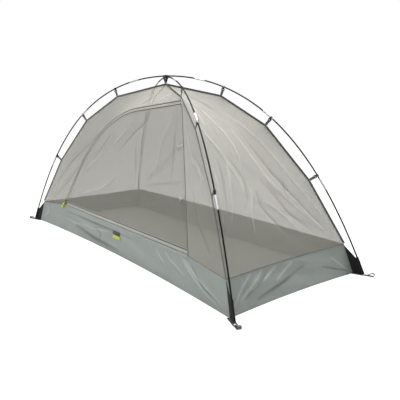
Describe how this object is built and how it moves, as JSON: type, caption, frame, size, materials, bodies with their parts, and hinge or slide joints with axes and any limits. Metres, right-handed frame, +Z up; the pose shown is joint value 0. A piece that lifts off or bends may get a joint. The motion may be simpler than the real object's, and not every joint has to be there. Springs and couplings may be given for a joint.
{
  "type": "mosquito net tent",
  "caption": "One-person mosquito net tent: bathtub floor, see-through net with a D-shaped zip door, two crossed bent poles and hook clips.",
  "frame": {"origin": "on the ground under the middle of the floor", "axes": "+X along the sleeper's length towards the right end, +Z up, the door in the long side that faces -Y"},
  "size_m": [2.4156, 0.9818, 1.0588],
  "materials": {
    "black_fibreglass": "black fibreglass rod with bare metal ferrules",
    "black_gusset_cloth": "matt heavy weave",
    "black_plastic": "satin moulded",
    "coated_pan_cloth": "silver-grey coated polyester, slightly glossy",
    "dark_binding_tape": "matt woven binding",
    "grey_webbing": "ribbed polyester webbing",
    "lime_cord": "bright braided cord",
    "netting": "fine see-through mosquito netting",
    "pale_webbing": "light grey tape",
    "tag_cloth": "plain woven label",
    "zip_tape": "woven zip tape with a nylon coil"
  },
  "bodies": {
    "tent": {"apex_strap": "grey_webbing", "corner_gusset_front": "black_gusset_cloth", "corner_gusset_left": "black_gusset_cloth", "corner_gusset_rear": "black_gusset_cloth", "corner_gusset_right": "black_gusset_cloth", "corner_webbing_front": "grey_webbing", "corner_webbing_left": "grey_webbing", "corner_webbing_rear": "grey_webbing", "corner_webbing_right": "grey_webbing", "floor_sheet": "coated_pan_cloth", "front_net_panel": "netting", "front_net_strip": "netting", "left_net_panel": "netting", "lower_pole_section_1": "black_fibreglass", "lower_pole_section_2": "black_fibreglass", "lower_pole_section_3": "black_fibreglass", "lower_pole_section_4": "black_fibreglass", "lower_pole_section_5": "black_fibreglass", "lower_pole_section_6": "black_fibreglass", "lower_pole_section_7": "black_fibreglass", "pan_wall_front": "coated_pan_cloth", "pan_wall_left": "coated_pan_cloth", "pan_wall_rear": "coated_pan_cloth", "pan_wall_right": "coated_pan_cloth", "rear_net_panel": "netting", "ridge_binding": "dark_binding_tape", "right_net_panel": "netting", "side_tag": "tag_cloth", "upper_pole_section_1": "black_fibreglass", "upper_pole_section_2": "black_fibreglass", "upper_pole_section_3": "black_fibreglass", "upper_pole_section_4": "black_fibreglass", "upper_pole_section_5": "black_fibreglass", "upper_pole_section_6": "black_fibreglass", "upper_pole_section_7": "black_fibreglass", "zip_frame_side": "zip_tape"},
    "door": {"door_net": "netting", "zip_door_side": "zip_tape"},
    "leg_slider": {"leg_slider": "black_plastic"},
    "sill_slider": {"sill_slider": "black_plastic"},
    "leg_pull": {"leg_pull": "lime_cord"},
    "sill_pull": {"sill_pull": "black_plastic"},
    "tieback_upper": {"tieback_upper": "pale_webbing"},
    "tieback_lower": {"tieback_lower": "pale_webbing"},
    "clip_left_1": {"clip_left_1": "black_plastic"},
    "clip_left_2": {"clip_left_2": "black_plastic"},
    "clip_left_3": {"clip_left_3": "black_plastic"},
    "clip_right_1": {"clip_right_1": "black_plastic"},
    "clip_right_2": {"clip_right_2": "black_plastic"},
    "clip_right_3": {"clip_right_3": "black_plastic"},
    "clip_front_1": {"clip_front_1": "black_plastic"},
    "clip_front_2": {"clip_front_2": "black_plastic"},
    "clip_front_3": {"clip_front_3": "black_plastic"},
    "clip_rear_1": {"clip_rear_1": "black_plastic"},
    "clip_rear_2": {"clip_rear_2": "black_plastic"},
    "clip_rear_3": {"clip_rear_3": "black_plastic"},
    "peg_loop_left": {"peg_loop_left": "grey_webbing"},
    "peg_loop_right": {"peg_loop_right": "grey_webbing"},
    "peg_loop_front": {"peg_loop_front": "grey_webbing"},
    "peg_loop_rear": {"peg_loop_rear": "grey_webbing"}
  },
  "joints": [
    {"name": "door_swing", "type": "hinge", "parent": "tent", "child": "door", "pos_m": [0.35188, -0.14075, 0.92054], "axis": [-0.432, 0.2791, 0.8576], "range_deg": [0, 100]},
    {"name": "leg_slider_travel", "type": "slide", "parent": "door", "child": "leg_slider", "axis": [0.3483, 0.2901, 0.8914], "range_m": [0, 0.242]},
    {"name": "sill_slider_travel", "type": "slide", "parent": "door", "child": "sill_slider", "axis": [1, 0, 0], "range_m": [0, 1.437]},
    {"name": "leg_pull_swing", "type": "hinge", "parent": "leg_slider", "child": "leg_pull", "pos_m": [-0.74073, -0.38001, 0.20295], "axis": [-0.9374, 0.1078, 0.3312], "range_deg": [0, 150]},
    {"name": "sill_pull_swing", "type": "hinge", "parent": "sill_slider", "child": "sill_pull", "pos_m": [-0.729, -0.38523, 0.1869], "axis": [0, -0.3095, -0.9509], "range_deg": [0, 150]},
    {"name": "tieback_upper_swing", "type": "hinge", "parent": "door", "child": "tieback_upper", "pos_m": [0.47169, -0.22181, 0.67663], "axis": [-0.432, 0.2791, 0.8576], "range_deg": [0, 45]},
    {"name": "tieback_lower_swing", "type": "hinge", "parent": "door", "child": "tieback_lower", "pos_m": [0.59684, -0.30266, 0.4282], "axis": [-0.432, 0.2791, 0.8576], "range_deg": [0, 45]},
    {"name": "clip_left_1_swing", "type": "hinge", "parent": "tent", "child": "clip_left_1", "pos_m": [-0.35649, -0.1426, 0.93836], "axis": [-0.8691, -0.3476, -0.352], "range_deg": [0, 100]},
    {"name": "clip_left_2_swing", "type": "hinge", "parent": "tent", "child": "clip_left_2", "pos_m": [-0.61819, -0.24728, 0.77604], "axis": [-0.722, -0.2888, -0.6287], "range_deg": [0, 100]},
    {"name": "clip_left_3_swing", "type": "hinge", "parent": "tent", "child": "clip_left_3", "pos_m": [-0.8632, -0.34528, 0.48611], "axis": [-0.5321, -0.2128, -0.8195], "range_deg": [0, 100]},
    {"name": "clip_right_1_swing", "type": "hinge", "parent": "tent", "child": "clip_right_1", "pos_m": [0.35649, 0.1426, 0.93836], "axis": [0.8691, 0.3476, -0.352], "range_deg": [0, 100]},
    {"name": "clip_right_2_swing", "type": "hinge", "parent": "tent", "child": "clip_right_2", "pos_m": [0.61819, 0.24728, 0.77604], "axis": [0.722, 0.2888, -0.6287], "range_deg": [0, 100]},
    {"name": "clip_right_3_swing", "type": "hinge", "parent": "tent", "child": "clip_right_3", "pos_m": [0.8632, 0.34528, 0.48611], "axis": [0.5321, 0.2128, -0.8195], "range_deg": [0, 100]},
    {"name": "clip_front_1_swing", "type": "hinge", "parent": "tent", "child": "clip_front_1", "pos_m": [0.3555, -0.1422, 0.93104], "axis": [-0.8704, 0.3481, 0.3483], "range_deg": [0, 100]},
    {"name": "clip_front_2_swing", "type": "hinge", "parent": "tent", "child": "clip_front_2", "pos_m": [0.61705, -0.24682, 0.77069], "axis": [-0.7253, 0.2901, 0.6243], "range_deg": [0, 100]},
    {"name": "clip_front_3_swing", "type": "hinge", "parent": "tent", "child": "clip_front_3", "pos_m": [0.86252, -0.34501, 0.48326], "axis": [-0.5356, 0.2142, 0.8168], "range_deg": [0, 100]},
    {"name": "clip_rear_1_swing", "type": "hinge", "parent": "tent", "child": "clip_rear_1", "pos_m": [-0.3555, 0.1422, 0.93104], "axis": [0.8704, -0.3481, 0.3483], "range_deg": [0, 100]},
    {"name": "clip_rear_2_swing", "type": "hinge", "parent": "tent", "child": "clip_rear_2", "pos_m": [-0.61705, 0.24682, 0.77069], "axis": [0.7253, -0.2901, 0.6243], "range_deg": [0, 100]},
    {"name": "clip_rear_3_swing", "type": "hinge", "parent": "tent", "child": "clip_rear_3", "pos_m": [-0.86252, 0.34501, 0.48326], "axis": [0.5356, -0.2142, 0.8168], "range_deg": [0, 100]},
    {"name": "peg_loop_left_fold", "type": "hinge", "parent": "tent", "child": "peg_loop_left", "pos_m": [-1.16904, -0.46762, 0.0019], "axis": [-0.3714, 0.9285, 0], "range_deg": [0, 100]},
    {"name": "peg_loop_right_fold", "type": "hinge", "parent": "tent", "child": "peg_loop_right", "pos_m": [1.16904, 0.46762, 0.0019], "axis": [0.3714, -0.9285, 0], "range_deg": [0, 100]},
    {"name": "peg_loop_front_fold", "type": "hinge", "parent": "tent", "child": "peg_loop_front", "pos_m": [1.16918, -0.46767, 0.0019], "axis": [-0.3714, -0.9285, 0], "range_deg": [0, 100]},
    {"name": "peg_loop_rear_fold", "type": "hinge", "parent": "tent", "child": "peg_loop_rear", "pos_m": [-1.16918, 0.46767, 0.0019], "axis": [0.3714, 0.9285, 0], "range_deg": [0, 100]}
  ]
}
